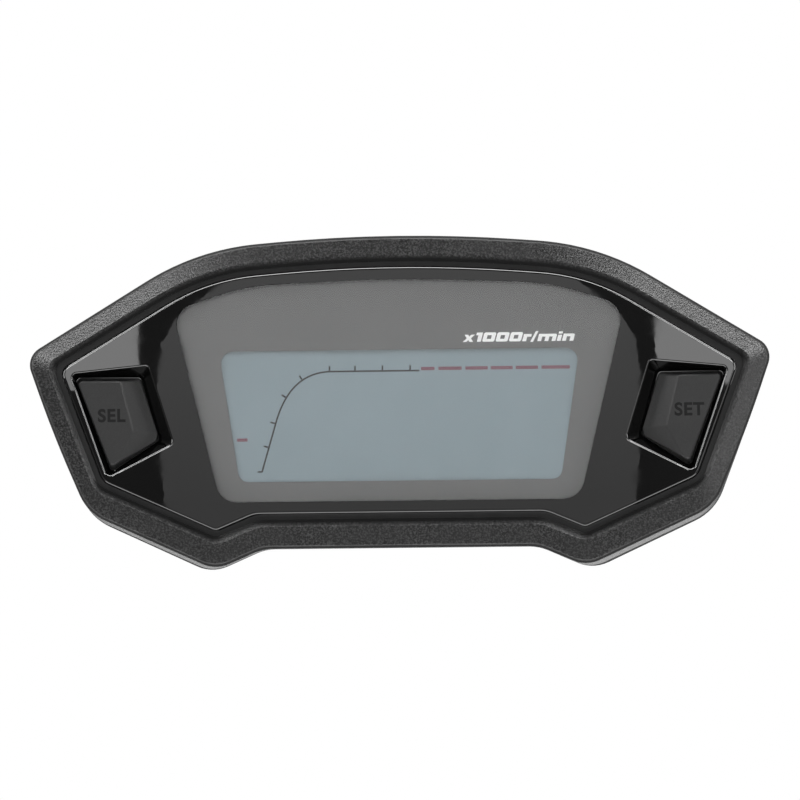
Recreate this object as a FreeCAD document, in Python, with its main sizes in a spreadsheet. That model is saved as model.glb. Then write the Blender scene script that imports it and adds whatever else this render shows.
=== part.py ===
"""Motorcycle instrument cluster: sealed LCD meter with two push buttons.

Frame: +X to the rider's right, +Z up, the face looks towards -Y. The origin is on the rear
mounting land, so a depth in this file is a distance forward of that land: y = -depth.
All sizes are in millimetres and live in the spreadsheet "Dims".
"""
import FreeCAD, Part
import math
import os
import Sketcher
from FreeCAD import Placement, Rotation, Vector

doc = FreeCAD.newDocument("instrument_cluster")
sheet = doc.addObject("Spreadsheet::Sheet", "Dims")

# ---------------------------------------------------------------- driving dimensions
# Outlines: corner name -> (x, z, corner radius). The mirrored ones are the right half,
# listed from the top of the centre line clockwise to the bottom.
OUTLINES = {
    # bezel: front edge of the skirt
    "face": {
        "apex": (0, 38.05, 356), "shoulder": (47.5, 34.2, 60), "cheek": (88.45, 9.26, 4.6),
        "flank": (81.9, -9.85, 300), "jaw": (74.05, -27.8, 12), "lobe": (43.7, -41.7, 8),
        "notch": (32.6, -36.9, 11),
    },
    # skirt at the parting plane, flared at the jaw and the lobe
    "skirt": {
        "apex": (0, 38.05, 356), "shoulder": (47.5, 34.2, 60), "cheek": (88.45, 9.26, 4.6),
        "flank": (81.9, -9.85, 300), "jaw": (74.6, -28.9, 13), "lobe": (45.4, -42.5, 9),
        "notch": (32.6, -36.9, 11),
    },
    # rear end of the rear housing
    "tail": {
        "apex": (0, 36.04, 350), "shoulder": (46.9, 32.2, 56), "cheek": (86.0, 8.4, 5.0),
        "flank": (80.0, -9.2, 298), "jaw": (73.0, -27.4, 11), "lobe": (45.4, -40.3, 7),
        "notch": (33.0, -34.9, 13),
    },
    # inner edge of the bezel's sloped face
    "ridge": {
        "apex": (0, 31.95, 350), "shoulder": (45.8, 28.3, 55), "cheek": (81.95, 6.83, 3),
        "flank": (76.0, -9.1, 300), "jaw": (71.37, -21.54, 5), "lobe": (43.6, -34.0, 3),
        "notch": (33.6, -30.0, 8),
    },
    # gloss fascia
    "fascia": {
        "apex": (0, 30.6, 350), "shoulder": (45.04, 26.97, 50), "cheek": (80.1, 5.93, 2.5),
        "flank": (74.51, -9.1, 300), "jaw": (70.2, -20.6, 4), "lobe": (43.6, -32.55, 2),
        "notch": (34.4, -28.7, 7),
    },
    # window over the display
    "window": {
        "apex": (0, 26.7, 350), "brow": (36, 25.3, 55), "temple": (53.3, 19.6, 5),
        "foot": (42.4, -25.7, 5),
    },
    # opening in the dial mask
    "display": {"top": (42.7, 10.0, 3.0), "foot": (38.05, -21.0, 2.5)},
    # circuit board
    "board": {
        "apex": (0, 25.5, 200), "shoulder": (42, 23, 4), "cheek": (78, 1.5, 2),
        "jaw": (71.5, -15.5, 3), "foot": (42, -29, 3),
    },
    # carrier of the display and its pocket
    "carrier": {"top": (50.5, 13.7, 2.0), "foot": (50.5, -29.0, 2.0)},
    "cradle": {"top": (45.4, 12.1, 0.6), "foot": (45.4, -27.3, 0.6)},
    # mounting land on the rear wall
    "land": {"top": (42.0, 21.0, 4.0), "foot": (42.0, -3.0, 4.0)},
    # connector: outside of the header, its socket
    "header": {"top": (15.5, -6.3, 1.5), "foot": (15.5, -19.7, 1.5)},
    "socket": {"top": (14.1, -7.7, 0.8), "foot": (14.1, -18.3, 0.8)},
    # slot in the carrier's floor for the contact strip
    "slot": {"top": (40.4, -24.0, 0.3), "foot": (40.4, -27.0, 0.3)},
    # tell-tale light tunnel
    "tunnel": {"top": (26.0, 23.0, 1.0), "foot": (26.0, 15.0, 1.0)},
    # cross recess of a screw
    "cross": {
        "top": (0.4, 1.6, 0.1), "crotch": (0.4, 0.4, 0.1), "end": (1.6, 0.4, 0.1),
        "low_end": (1.6, -0.4, 0.1), "low_crotch": (0.4, -0.4, 0.1), "foot": (0.4, -1.6, 0.1),
    },
}
# One side only: the right one, mirrored for the left.
SIDE_OUTLINES = {
    "rim": {
        "outtop": (77.6, 5.0, 1.0), "outfoot": (69.2, -19.6, 1.2),
        "infoot": (53.4, -11.7, 1.2), "intop": (59.2, 6.9, 0.9),
    },
    "floor": {
        "outtop": (77.0, 4.2, 0.9), "outfoot": (68.6, -18.4, 1.0),
        "infoot": (57.0, -10.8, 1.0), "intop": (61.3, 4.1, 0.9),
    },
    "cap": {
        "outtop": (76.7, 3.9, 0.9), "outfoot": (68.6, -18.0, 1.0), "infoot": (57.9, -11.0, 0.9),
        "inside": (57.5, -9.2, 0.9), "intop": (61.6, 3.7, 0.9),
    },
    "facet": {
        "outtop": (76.2, 3.3, 0.9), "outfoot": (68.3, -17.0, 0.8), "infoot": (66.9, -16.1, 0.5),
        "inside": (63.0, -8.8, 0.8), "intop": (65.9, 3.1, 0.5),
    },
}
DEPTHS = {
    "land": 0.0, "wall_rear": 1.5, "wall_front": 4.0, "parting": 16.0,
    "bezel_back": 26.3, "bezel_edge": 28.5, "bezel_step": 29.0, "bezel_ridge": 30.0,
    "bevel_foot": 29.4, "bevel_reach": 30.3,
    "fascia_rear": 24.9, "fascia_flange": 26.1, "fascia_back": 27.2, "fascia_face": 29.6,
    "well_rear": 24.8, "well_floor": 25.6,
    "lens_rear": 25.8, "lens_flange": 26.8, "lens_face": 29.5,
    "mask_rear": 24.7, "mask_front": 25.2,
    "board_rear": 15.4, "board_front": 17.0,
    "carrier_rear": 17.9, "carrier_floor": 18.9, "guide_front": 21.5, "diffuser_front": 21.9,
    "rear_film_front": 22.1, "rear_glass_front": 23.2, "front_glass_front": 24.3,
    "front_film_front": 24.6,
    "cap_rear": 23.9, "cap_flange": 24.7, "cap_side": 26.2, "cap_face": 28.9, "stem_end": 22.02,
    "boot_front": 23.0, "switch_front": 20.5, "switch_bore": 19.0, "plunger_rear": 20.0,
    "plunger_front": 22.0,
    "header_rear": 1.7, "socket_floor": 10.5, "pin_tip": 6.5, "pin_tail": 17.8,
    "connector_seal_front": 3.8,
    "insert_front": 8.0, "insert_boss": 9.5,
    "screw_seat": 6.0, "screw_head": 4.0, "screw_end": 21.0, "pilot_end": 21.5,
    "bezel_boss": 22.5, "groove": 15.2, "board_screw_end": 9.0, "board_screw_head": 18.6,
    "vent_cap": 0.3, "vent_front": 4.4,
    "tunnel_front": 24.6, "telltale_front": 17.8,
}
LENGTHS = {
    "housing_wall": 2.4, "bezel_wall": 2.2, "plate_inset": 1.0, "wall_inset": 1.6,
    "bezel_round": 1.1, "tail_round": 1.2, "land_bevel": 0.4,
    "fascia_gap": 0.2, "fascia_lip": 2.0, "fascia_border": 1.8, "fascia_round": 0.6, "rim_round": 0.5,
    "fascia_seal_inset": 0.5, "tub_wall": 1.2, "cap_gap": 0.3, "cap_lip": 1.2, "cap_bevel": 0.25,
    "lens_gap": 0.1, "lens_lip": 0.75, "lens_gasket_inset": 0.2, "lens_bevel": 0.2, "mask_margin": 0.5,
    "groove_outer": 0.7, "groove_inner": 1.7, "seal_outer": 0.75, "seal_inner": 1.65,
    "film_half_width": 43.8, "film_top": 11.2, "film_foot": -22.6,
    "glass_half_width": 45.0, "glass_top": 11.8, "rear_glass_foot": -23.8, "front_glass_foot": -27.0,
    "guide_half_width": 43.0, "strip_width": 0.6, "led_width": 1.2, "led_length": 3.2, "led_pitch": 8.0,
    "zebra_half_width": 40.0, "zebra_top": -24.4, "zebra_foot": -26.6,
    "leg_x": 47.8, "leg_top": 9.0, "leg_foot": -24.0, "leg_r": 1.8,
    "insert_x": 30.0, "insert_z": 9.0, "lower_insert_z": -27.0, "insert_r": 3.5, "insert_bore_r": 2.1,
    "insert_boss_r": 5.5, "lower_boss_r": 5.0,
    "boss_r": 4.2, "counterbore_r": 3.0, "clearance_r": 1.7, "pilot_r": 1.5, "head_r": 2.7,
    "head_round": 0.6, "recess_depth": 1.2,
    "board_boss_r": 3.0, "board_pilot_r": 1.0, "board_hole_r": 1.35, "board_head_r": 2.2,
    "board_screw_x": 54.0, "board_screw_top": 11.0, "board_screw_foot": -18.0,
    "pin_pitch": 3.0, "pin_half": 0.32, "pin_hole_r": 0.55, "pin_row_z": 2.0, "header_z": -13.0,
    "connector_seal": 1.2,
    "vent_x": 54.0, "vent_z": -4.0, "vent_r": 3.0, "vent_cap_r": 4.4,
    "switch_x": 67.0, "switch_z": -6.5, "switch_half": 3.0, "plunger_r": 1.6, "switch_bore_r": 1.68,
    "stem_r": 2.2, "boot_base": 5.5, "boot_top": 4.2, "boot_wall": 0.8,
    "telltale_pitch": 10.0, "telltale_z": 19.0, "telltale_r": 3.0, "telltale_half": 1.2,
}
# Housing screws, right half: a boss in every convex corner.
HOUSING_SCREWS = {
    "shoulder": (45.1, 26.8), "cheek": (80.9, 6.5), "jaw": (69.9, -23.8), "lobe": (43.9, -35.0),
}
# Packages on the rear of the board: x, z, half width, half height, thickness.
CHIPS = {
    "processor": (-24.0, -8.0, 6.0, 6.0, 1.5), "driver": (24.0, -8.0, 5.0, 5.0, 1.4),
    "memory": (-42.0, -10.0, 2.5, 2.0, 1.6), "transceiver": (42.0, -20.0, 2.5, 2.0, 1.6),
    "input_stage": (24.0, -21.0, 3.0, 2.5, 1.6),
}
# Capacitor cans on the rear of the board: x, z, radius, height.
CAPACITORS = {
    "bulk": (-12.0, 12.0, 4.0, 6.5), "filter": (-2.0, 12.0, 3.15, 5.5), "output": (12.0, 12.0, 3.15, 5.5),
}
CHIP_WORDS = ("x", "z", "half_width", "half_height", "thick")
CAPACITOR_WORDS = ("x", "z", "can_r", "tall")
SIDES = {"left": -1, "right": 1}
TELLTALES = (-2, -1, 0, 1, 2)
ON_ORIGIN = (0.0, "0", 0.0, "0")
NEAR = 1e-3

sizes = {}
nodes = []


def dimension(name, value):
    """Put one driving dimension in the next row of the sheet, under its own alias."""
    row = len(sizes) + 1
    sheet.set(f"A{row}", name)
    sheet.set(f"B{row}", str(value))
    sheet.setAlias(f"B{row}", name)
    sizes[name] = value


for outline_name, corners in {**OUTLINES, **SIDE_OUTLINES}.items():
    for corner, values in corners.items():
        for word, value in zip(("x", "z", "rad"), values):
            dimension(f"{outline_name}_{corner}_{word}", value)
for depth_name, value in DEPTHS.items():
    dimension(f"depth_{depth_name}", value)
for length_name, value in LENGTHS.items():
    dimension(length_name, value)
for screw_name, (x, z) in HOUSING_SCREWS.items():
    dimension(f"screw_{screw_name}_x", x)
    dimension(f"screw_{screw_name}_z", z)
for table, words in ((CHIPS, CHIP_WORDS), (CAPACITORS, CAPACITOR_WORDS)):
    for item, values in table.items():
        for word, value in zip(words, values):
            dimension(f"{item}_{word}", value)
doc.recompute()


# ---------------------------------------------------------------- sketch helpers
def ring(name):
    """Corners of a mirrored outline, clockwise seen from the front: (sign of x, corner's alias)."""
    half = list(OUTLINES[name])
    right = [(1, f"{name}_{corner}") for corner in half]
    left = [(-1, f"{name}_{corner}") for corner in reversed(half) if corner != "apex"]
    return right + left


def side_ring(name, sign):
    """Corners of an outline that lies on one side only."""
    return [(sign, f"{name}_{corner}") for corner in SIDE_OUTLINES[name]]


def pin_down(sketch, geometry, position, x, x_cell, z, z_cell):
    """Hold a point of the sketch at (x, z) from the origin, by cells that give x and z."""
    for kind, value, cell in (("DistanceX", x, x_cell), ("DistanceY", z, z_cell)):
        if abs(value) < 1e-9:
            axis = -2 if kind == "DistanceX" else -1
            sketch.addConstraint(Sketcher.Constraint("PointOnObject", geometry, position, axis))
            continue
        ends = (-1, 1, geometry, position) if value > 0 else (geometry, position, -1, 1)
        index = sketch.addConstraint(Sketcher.Constraint(kind, *ends, abs(value)))
        sketch.setExpression(f"Constraints[{index}]", f"abs({cell})")


def new_sketch(body, name, depth):
    """A sketch on the body's own XZ plane, moved forward to a depth."""
    sketch = body.newObject("Sketcher::SketchObject", name)
    plane = [item for item in body.Origin.OriginFeatures if item.Role == "XZ_Plane"][0]
    sketch.AttachmentSupport = [(plane, "")]
    sketch.MapMode = "FlatFace"
    sketch.setExpression("AttachmentOffset.Base.z", f"Dims.depth_{depth}")
    return sketch


def arc_frame(before, corner, after, radius):
    """Tangent points, centre and turning sense of the arc that rounds one corner."""
    back = (before - corner).normalize()
    ahead = (after - corner).normalize()
    half_angle = back.getAngle(ahead) / 2
    reach = radius / math.tan(half_angle)
    centre = corner + (back + ahead).normalize() * (radius / math.sin(half_angle))
    clockwise = (corner - before).cross(after - corner).z < 0
    return corner + back * reach, corner + ahead * reach, centre, clockwise


def outline(body, name, corners, depth):
    """A closed outline of lines joined by tangent arcs, held at its corner points."""
    sketch = new_sketch(body, name, depth)
    count = len(corners)
    points = [Vector(sign * sizes[f"{cell}_x"], sizes[f"{cell}_z"], 0) for sign, cell in corners]
    arcs = [arc_frame(points[i - 1], points[i], points[(i + 1) % count], sizes[f"{corners[i][1]}_rad"])
            for i in range(count)]
    geometry = []
    for i, (enter, leave, centre, clockwise) in enumerate(arcs):
        first, last = (leave, enter) if clockwise else (enter, leave)
        start = math.atan2(first.y - centre.y, first.x - centre.x)
        end = math.atan2(last.y - centre.y, last.x - centre.x)
        if end < start:
            end += 2 * math.pi
        circle = Part.Circle(centre, Vector(0, 0, 1), (enter - centre).Length)
        geometry.append(Part.ArcOfCircle(circle, start, end))
        geometry.append(Part.LineSegment(leave, arcs[(i + 1) % count][0]))
    geometry += [Part.Point(point) for point in points]
    sketch.addGeometry(geometry, False)
    constraints = []
    for i in range(count):
        arc, line, corner_point = 2 * i, 2 * i + 1, 2 * count + i
        sketch.setConstruction(corner_point, True)
        following = (i + 1) % count
        leave_end = 1 if arcs[i][3] else 2
        enter_end = 2 if arcs[following][3] else 1
        constraints.append(Sketcher.Constraint("Tangent", arc, leave_end, line, 1))
        constraints.append(Sketcher.Constraint("Tangent", line, 2, 2 * following, enter_end))
        constraints.append(Sketcher.Constraint("PointOnObject", corner_point, 1, 2 * ((i - 1) % count) + 1))
        constraints.append(Sketcher.Constraint("PointOnObject", corner_point, 1, line))
    sketch.addConstraint(constraints)
    for i, (sign, cell) in enumerate(corners):
        index = sketch.addConstraint(Sketcher.Constraint("Radius", 2 * i, sizes[f"{cell}_rad"]))
        sketch.setExpression(f"Constraints[{index}]", f"Dims.{cell}_rad")
        pin_down(sketch, 2 * count + i, 1, points[i].x, f"Dims.{cell}_x", points[i].y, f"Dims.{cell}_z")
    return sketch


def square(body, name, depth, sign, half):
    """A square centred on a switch; half is the cell of its half width."""
    centre_x, centre_z = sizes["switch_x"] * sign, sizes["switch_z"]
    sketch = new_sketch(body, name, depth)
    reach = sizes[half]
    turns = [(1, 1), (1, -1), (-1, -1), (-1, 1)]
    corner_points = [Vector(centre_x + reach * a, centre_z + reach * b, 0) for a, b in turns]
    lines = [Part.LineSegment(corner_points[i], corner_points[(i + 1) % 4]) for i in range(4)]
    sketch.addGeometry(lines, False)
    for i in range(4):
        following = (i + 1) % 4
        sketch.addConstraint(Sketcher.Constraint("Coincident", i, 2, following, 1))
        sketch.addConstraint(Sketcher.Constraint("Vertical" if i % 2 == 0 else "Horizontal", i))
    for i, (a, b) in ((0, turns[0]), (2, turns[2])):
        x_cell = f"{sign} * Dims.switch_x + {a} * Dims.{half}"
        z_cell = f"Dims.switch_z + {b} * Dims.{half}"
        pin_down(sketch, i, 1, corner_points[i].x, x_cell, corner_points[i].y, z_cell)
    return sketch


def circles(body, name, depth, radius, centres):
    """Circles of one radius; a centre is (x, cell of x, z, cell of z)."""
    sketch = new_sketch(body, name, depth)
    for x, x_cell, z, z_cell in centres:
        circle = Part.Circle(Vector(x, z, 0), Vector(0, 0, 1), sizes[radius])
        number = sketch.addGeometry(circle, False)
        index = sketch.addConstraint(Sketcher.Constraint("Radius", number, sizes[radius]))
        sketch.setExpression(f"Constraints[{index}]", f"Dims.{radius}")
        pin_down(sketch, number, 3, x, x_cell, z, z_cell)
    return sketch


def spot(x_name, z_name, sign=1):
    """One centre for circles(), from the names of its two cells."""
    return sign * sizes[x_name], f"Dims.{x_name}", sizes[z_name], f"Dims.{z_name}"


def signed(value, cell):
    """The cell's expression, with the sign that the value has."""
    return f"-{cell}" if value < 0 else cell


def on_axis(z_name):
    """A centre on the vertical centre line."""
    return 0.0, "0", sizes[z_name], f"Dims.{z_name}"


# ---------------------------------------------------------------- feature helpers
def keep(obj):
    """The object is one of the assembly's pieces: its name is its label and its file's name."""
    obj.Label = obj.Name
    nodes.append(obj)
    return obj


def new_body(name):
    body = doc.addObject("PartDesign::Body", name)
    body.Placement = Placement(Vector(0, 0, 0), Rotation())
    return body


def offset_copy(body, sketch, name, offset):
    """The sketch's outline moved outward (or inward, if negative) by an expression."""
    binder = body.newObject("PartDesign::SubShapeBinder", name)
    binder.Support = [(sketch, "")]
    binder.setExpression("Offset", offset)
    return binder


def aim(feature, start, end):
    """Run a pad or pocket from its start depth towards its end depth."""
    forward = sizes[f"depth_{end}"] > sizes[f"depth_{start}"]
    feature.UseCustomVector = True
    feature.Direction = Vector(0, -1 if forward else 1, 0)


def pad(body, name, profile, start, end):
    """Add material between two depths; the profile lies at the start."""
    feature = body.newObject("PartDesign::Pad", name)
    feature.Profile = profile
    aim(feature, start, end)
    feature.setExpression("Length", f"abs(Dims.depth_{end} - Dims.depth_{start})")
    return feature


def pocket(body, name, profile, start, end):
    """Remove material between two depths; the profile lies at the start."""
    feature = body.newObject("PartDesign::Pocket", name)
    feature.Profile = profile
    aim(feature, start, end)
    feature.setExpression("Length", f"abs(Dims.depth_{end} - Dims.depth_{start})")
    return feature


def loft(body, name, kind, first, second):
    """A ruled loft, kind Additive or Subtractive, between two profiles."""
    feature = body.newObject(f"PartDesign::{kind}Loft", name)
    feature.Profile = first
    feature.Sections = [second]
    feature.Ruled = True
    return feature


def edges_at(feature, depth, along=None):
    """Names of the feature's edges that lie at a depth and, if a sketch is given, along its outline."""
    plane = -sizes[f"depth_{depth}"]
    names = []
    for number, edge in enumerate(feature.Shape.Edges, start=1):
        if edge.BoundBox.YLength > NEAR or abs(edge.BoundBox.Center.y - plane) > NEAR:
            continue
        middle = edge.valueAt((edge.FirstParameter + edge.LastParameter) / 2)
        if along is None or along.Shape.distToShape(Part.Vertex(middle))[0] < NEAR:
            names.append(f"Edge{number}")
    return names


def dress(body, kind, name, base, edges, cell):
    """Fillet or Chamfer on named edges of the base feature."""
    feature = body.newObject(f"PartDesign::{kind}", name)
    feature.Base = (base, edges)
    feature.setExpression("Radius" if kind == "Fillet" else "Size", f"Dims.{cell}")
    return feature


def block(name, across, depths, heights):
    """A box between two expressions each way: left-right, rear-front depth, bottom-top."""
    box = doc.addObject("Part::Box", name)
    for prop, (low, high) in (("Length", across), ("Width", depths), ("Height", heights)):
        box.setExpression(prop, f"({high}) - ({low})")
    box.setExpression("Placement.Base.x", across[0])
    box.setExpression("Placement.Base.y", f"-({depths[1]})")
    box.setExpression("Placement.Base.z", heights[0])
    return box


def rod(name, radius, x, z, rear, front):
    """A cylinder along the depth, from expressions."""
    cylinder = doc.addObject("Part::Cylinder", name)
    cylinder.Placement = Placement(Vector(0, 0, 0), Rotation(Vector(1, 0, 0), 90))
    cylinder.setExpression("Radius", radius)
    cylinder.setExpression("Height", f"({front}) - ({rear})")
    cylinder.setExpression("Placement.Base.x", x)
    cylinder.setExpression("Placement.Base.y", f"-({rear})")
    cylinder.setExpression("Placement.Base.z", z)
    return cylinder


def group(name, members):
    """Separate solids that share one piece's name."""
    compound = doc.addObject("Part::Compound", name)
    compound.Links = members
    return keep(compound)


def mirrored_spots(x_name, z_name):
    return [spot(x_name, z_name, sign) for sign in SIDES.values()]


screw_spots = [entry for screw in HOUSING_SCREWS
               for entry in mirrored_spots(f"screw_{screw}_x", f"screw_{screw}_z")]
board_spots = (mirrored_spots("board_screw_x", "board_screw_top")
               + mirrored_spots("board_screw_x", "board_screw_foot"))
insert_spots = mirrored_spots("insert_x", "insert_z") + [on_axis("lower_insert_z")]


# ---------------------------------------------------------------- casings
def make_bezel():
    """Front frame: flared skirt, sloped face, step down to the fascia, eight screw bosses."""
    body = keep(new_body("front_bezel"))
    skirt = outline(body, "SkirtOutline", ring("skirt"), "parting")
    face = outline(body, "FaceOutline", ring("face"), "bezel_edge")
    ridge = outline(body, "RidgeOutline", ring("ridge"), "bezel_ridge")
    loft(body, "Skirt", "Additive", skirt, face)
    hollow_rear = offset_copy(body, skirt, "HollowRear", "-Dims.bezel_wall")
    hollow_front = offset_copy(body, face, "HollowFront", "-Dims.bezel_wall")
    loft(body, "Hollow", "Subtractive", hollow_rear, hollow_front)
    loft(body, "FaceSlope", "Additive", face, ridge)
    plate_edge = offset_copy(body, face, "PlateEdge", "-Dims.plate_inset")
    pad(body, "FacePlate", plate_edge, "bezel_edge", "bezel_back")
    pocket(body, "LipStep", ridge, "bezel_ridge", "bezel_step")
    bevel_foot = outline(body, "BevelFoot", ring("ridge"), "bevel_foot")
    bevel_reach = outline(body, "BevelReach", ring("face"), "bevel_reach")
    loft(body, "InnerBevel", "Subtractive", bevel_foot, bevel_reach)
    fascia = outline(body, "FasciaOutline", ring("fascia"), "bezel_step")
    opening = offset_copy(body, fascia, "OpeningEdge", "Dims.fascia_gap")
    pocket(body, "Opening", opening, "bezel_step", "bezel_back")
    pad(body, "Bosses", circles(body, "BossCircles", "parting", "boss_r", screw_spots),
        "parting", "bezel_boss")
    last = pocket(body, "PilotHoles", circles(body, "PilotCircles", "parting", "pilot_r", screw_spots),
                  "parting", "pilot_end")
    doc.recompute()
    dress(body, "Fillet", "OuterRound", last, edges_at(last, "bezel_edge", face), "bezel_round")
    return body


def make_rear_housing():
    """Rear tray: tapered wall, rear wall, mounting land, bosses, seal groove, connector opening."""
    body = keep(new_body("rear_housing"))
    tail = outline(body, "TailOutline", ring("tail"), "wall_rear")
    rim = outline(body, "RimOutline", ring("skirt"), "parting")
    shell = loft(body, "Shell", "Additive", tail, rim)
    doc.recompute()
    dress(body, "Fillet", "TailRound", shell, edges_at(shell, "wall_rear"), "tail_round")
    groove_outer = offset_copy(body, rim, "GrooveOuter", "-Dims.groove_outer")
    pocket(body, "Groove", groove_outer, "parting", "groove")
    groove_inner = offset_copy(body, rim, "GrooveInner", "-Dims.groove_inner")
    pad(body, "GrooveIsland", groove_inner, "parting", "groove")
    hollow_rear = offset_copy(body, tail, "TrayRear", "-Dims.housing_wall")
    hollow_front = offset_copy(body, rim, "TrayFront", "-Dims.housing_wall")
    loft(body, "Tray", "Subtractive", hollow_rear, hollow_front)
    wall_edge = offset_copy(body, tail, "WallEdge", "-Dims.wall_inset")
    pad(body, "RearWall", wall_edge, "wall_rear", "wall_front")
    land = pad(body, "Land", outline(body, "LandOutline", ring("land"), "land"), "land", "wall_front")
    doc.recompute()
    dress(body, "Chamfer", "LandBevel", land, edges_at(land, "land"), "land_bevel")
    pad(body, "LowerPad", circles(body, "LowerPadCircle", "land", "lower_boss_r",
                                  [on_axis("lower_insert_z")]), "land", "insert_boss")
    pad(body, "InsertBosses", circles(body, "InsertBossCircles", "wall_rear", "insert_boss_r",
                                      mirrored_spots("insert_x", "insert_z")), "wall_rear", "insert_boss")
    pad(body, "ScrewBosses", circles(body, "ScrewBossCircles", "wall_front", "boss_r", screw_spots),
        "wall_front", "parting")
    pad(body, "BoardBosses", circles(body, "BoardBossCircles", "wall_front", "board_boss_r", board_spots),
        "wall_front", "board_rear")
    header = outline(body, "HeaderOutline", ring("header"), "wall_rear")
    opening = offset_copy(body, header, "OpeningOutline", "Dims.connector_seal")
    pocket(body, "ConnectorOpening", opening, "wall_rear", "wall_front")
    pocket(body, "InsertHoles", circles(body, "InsertCircles", "land", "insert_r", insert_spots),
           "land", "insert_front")
    pocket(body, "Counterbores", circles(body, "CounterboreCircles", "wall_rear", "counterbore_r",
                                         screw_spots), "wall_rear", "screw_seat")
    pocket(body, "ClearanceHoles", circles(body, "ClearanceCircles", "screw_seat", "clearance_r",
                                           screw_spots), "screw_seat", "parting")
    pocket(body, "BoardPilots", circles(body, "BoardPilotCircles", "board_rear", "board_pilot_r",
                                        board_spots), "board_rear", "insert_front")
    pocket(body, "VentHole", circles(body, "VentCircle", "wall_rear", "vent_r",
                                     [spot("vent_x", "vent_z")]), "wall_rear", "wall_front")
    return body


# ---------------------------------------------------------------- front pieces
def make_fascia():
    """Gloss plate with a glued flange, a window opening and two sunk button wells."""
    body = keep(new_body("gloss_fascia"))
    main = outline(body, "PlateOutline", ring("fascia"), "fascia_rear")
    pad(body, "Plate", main, "fascia_rear", "fascia_face")
    pad(body, "Flange", offset_copy(body, main, "FlangeEdge", "Dims.fascia_lip"),
        "fascia_rear", "fascia_flange")
    plate = pocket(body, "BackRecess", offset_copy(body, main, "RecessEdge", "-Dims.fascia_border"),
                   "fascia_rear", "fascia_back")
    doc.recompute()
    dress(body, "Fillet", "OuterRound", plate, edges_at(plate, "fascia_face"), "fascia_round")
    for side, sign in SIDES.items():
        rim = outline(body, f"{side}_rim", side_ring("rim", sign), "fascia_face")
        tub = outline(body, f"{side}_tub", side_ring("rim", sign), "well_rear")
        floor = outline(body, f"{side}_floor", side_ring("floor", sign), "well_floor")
        hole = outline(body, f"{side}_hole", side_ring("cap", sign), "well_floor")
        pad(body, f"{side}_tub_wall", offset_copy(body, tub, f"{side}_tub_edge", "Dims.tub_wall"),
            "well_rear", "fascia_back")
        well = loft(body, f"{side}_well", "Subtractive", rim, floor)
        pocket(body, f"{side}_cap_hole", offset_copy(body, hole, f"{side}_hole_edge", "Dims.cap_gap"),
               "well_floor", "well_rear")
    window = outline(body, "WindowOutline", ring("window"), "fascia_face")
    last = pocket(body, "WindowOpening", offset_copy(body, window, "WindowEdge", "Dims.lens_gap"),
                  "fascia_face", "fascia_back")
    doc.recompute()
    for side in SIDES:
        rim = body.getObject(f"{side}_rim")
        last = dress(body, "Fillet", f"{side}_rim_round", last,
                     edges_at(last, "fascia_face", rim), "rim_round")
        doc.recompute()
    return body


def make_lens():
    """Clear window: a block that fills the fascia's opening, on a flange glued behind it."""
    body = keep(new_body("window_lens"))
    flange = outline(body, "FlangeOutline", ring("window"), "lens_rear")
    pad(body, "LensFlange", offset_copy(body, flange, "LensFlangeEdge", "Dims.lens_lip"),
        "lens_rear", "lens_flange")
    last = pad(body, "LensBlock", flange, "lens_rear", "lens_face")
    doc.recompute()
    dress(body, "Chamfer", "LensBevel", last, edges_at(last, "lens_face"), "lens_bevel")
    return body


def make_seal(name, corners, start, end, outer, inner):
    """A flat seal between two offsets of one outline."""
    body = keep(new_body(name))
    profile = outline(body, f"{name}_outline", ring(corners), start)
    pad(body, f"{name}_sheet", offset_copy(body, profile, f"{name}_outer", outer), start, end)
    pocket(body, f"{name}_opening", offset_copy(body, profile, f"{name}_inner", inner), start, end)


def make_button(side, sign):
    """Push-button cap: lip behind the well floor, straight sides, wedge-shaped front, stem."""
    body = keep(new_body(f"button_{side}"))
    lip = outline(body, f"{side}_lip", side_ring("cap", sign), "cap_rear")
    pad(body, f"{side}_lip_plate", offset_copy(body, lip, f"{side}_lip_edge", "Dims.cap_lip"),
        "cap_rear", "cap_flange")
    pad(body, f"{side}_sides", lip, "cap_rear", "cap_side")
    foot = outline(body, f"{side}_wedge_foot", side_ring("cap", sign), "cap_side")
    facet = outline(body, f"{side}_facet", side_ring("facet", sign), "cap_face")
    wedge = loft(body, f"{side}_wedge", "Additive", foot, facet)
    doc.recompute()
    dress(body, "Chamfer", f"{side}_facet_bevel", wedge, edges_at(wedge, "cap_face"), "cap_bevel")
    pad(body, f"{side}_stem", circles(body, f"{side}_stem_circle", "cap_rear", "stem_r",
                                      [spot("switch_x", "switch_z", sign)]), "cap_rear", "stem_end")
    return body


def make_boot(side, sign):
    """Silicone boot: a square dome between the board and the cap, round the switch."""
    body = keep(new_body(f"button_boot_{side}"))
    base = square(body, f"{side}_boot_base", "board_front", sign, "boot_base")
    top = square(body, f"{side}_boot_top", "boot_front", sign, "boot_top")
    loft(body, f"{side}_dome", "Additive", base, top)
    hollow_base = offset_copy(body, base, f"{side}_boot_inner_base", "-Dims.boot_wall")
    hollow_top = offset_copy(body, top, f"{side}_boot_inner_top", "-Dims.boot_wall")
    loft(body, f"{side}_boot_hollow", "Subtractive", hollow_base, hollow_top)
    return body


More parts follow.
